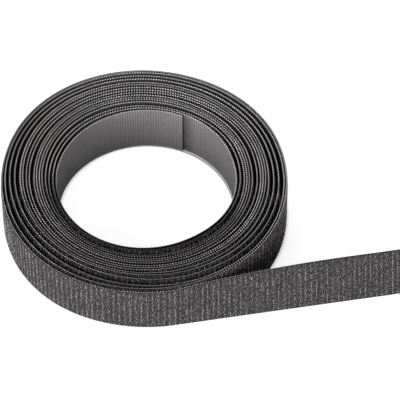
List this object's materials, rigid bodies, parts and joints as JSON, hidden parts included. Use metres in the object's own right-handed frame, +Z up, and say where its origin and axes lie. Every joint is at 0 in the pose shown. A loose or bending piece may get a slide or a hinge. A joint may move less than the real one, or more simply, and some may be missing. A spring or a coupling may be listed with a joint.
{
  "type": "hook and loop tape roll",
  "caption": "Coreless roll of back-to-back hook and loop tape standing on its edge, with a free tail that peels off the roll, curls and twists.",
  "frame": {"origin": "middle of the part's outline in plan, on the surface that the tape's edge stands on", "axes": "+Z up, along the bore; +X towards the free tail, the part's longest way"},
  "size_m": [0.1488, 0.1074, 0.0202],
  "materials": {
    "hook_layer": "moulded film with rows of micro-hooks, satin",
    "loop_layer": "knitted loops in cross ribs, matt"
  },
  "bodies": {
    "roll": {"winding_hook_layer": "hook_layer", "winding_loop_layer": "loop_layer"},
    "inner_end": {"inner_end_hook_layer": "hook_layer", "inner_end_loop_layer": "loop_layer"},
    "tail_1": {"tail_1_hook_layer": "hook_layer", "tail_1_loop_layer": "loop_layer"},
    "tail_2": {"tail_2_hook_layer": "hook_layer", "tail_2_loop_layer": "loop_layer"},
    "tail_3": {"tail_3_hook_layer": "hook_layer", "tail_3_loop_layer": "loop_layer"},
    "tail_4": {"tail_4_hook_layer": "hook_layer", "tail_4_loop_layer": "loop_layer"}
  },
  "joints": [
    {"name": "tail_peel", "type": "hinge", "parent": "roll", "child": "tail_1", "pos_m": [-0.01034, -0.05286, 0], "axis": [0, 0, 1], "range_deg": [-90, 0], "stiffness_Nm_per_rad": 0.001},
    {"name": "tail_curl_near", "type": "hinge", "parent": "tail_1", "child": "tail_2", "pos_m": [0.01083, -0.04912, 0.00006], "axis": [-0.0235, 0.1331, 0.9908], "range_deg": [-30, 0], "stiffness_Nm_per_rad": 0.001},
    {"name": "tail_twist", "type": "hinge", "parent": "tail_2", "child": "tail_3", "pos_m": [0.03193, -0.04496, 0], "axis": [0.9848, 0.1736, 0], "range_deg": [-40, 13], "stiffness_Nm_per_rad": 0.001},
    {"name": "tail_curl_far", "type": "hinge", "parent": "tail_3", "child": "tail_4", "pos_m": [0.05318, -0.04165, 0.00011], "axis": [-0.0417, 0.2366, 0.9707], "range_deg": [-30, 0], "stiffness_Nm_per_rad": 0.001},
    {"name": "inner_end_peel", "type": "hinge", "parent": "roll", "child": "inner_end", "pos_m": [-0.02519, 0.03308, 0], "axis": [0, 0, 1], "range_deg": [-60, 0], "stiffness_Nm_per_rad": 0.001}
  ],
  "couplings": [
    {"joint": "tail_curl_far", "follows": "tail_curl_near", "ratio": 1}
  ]
}
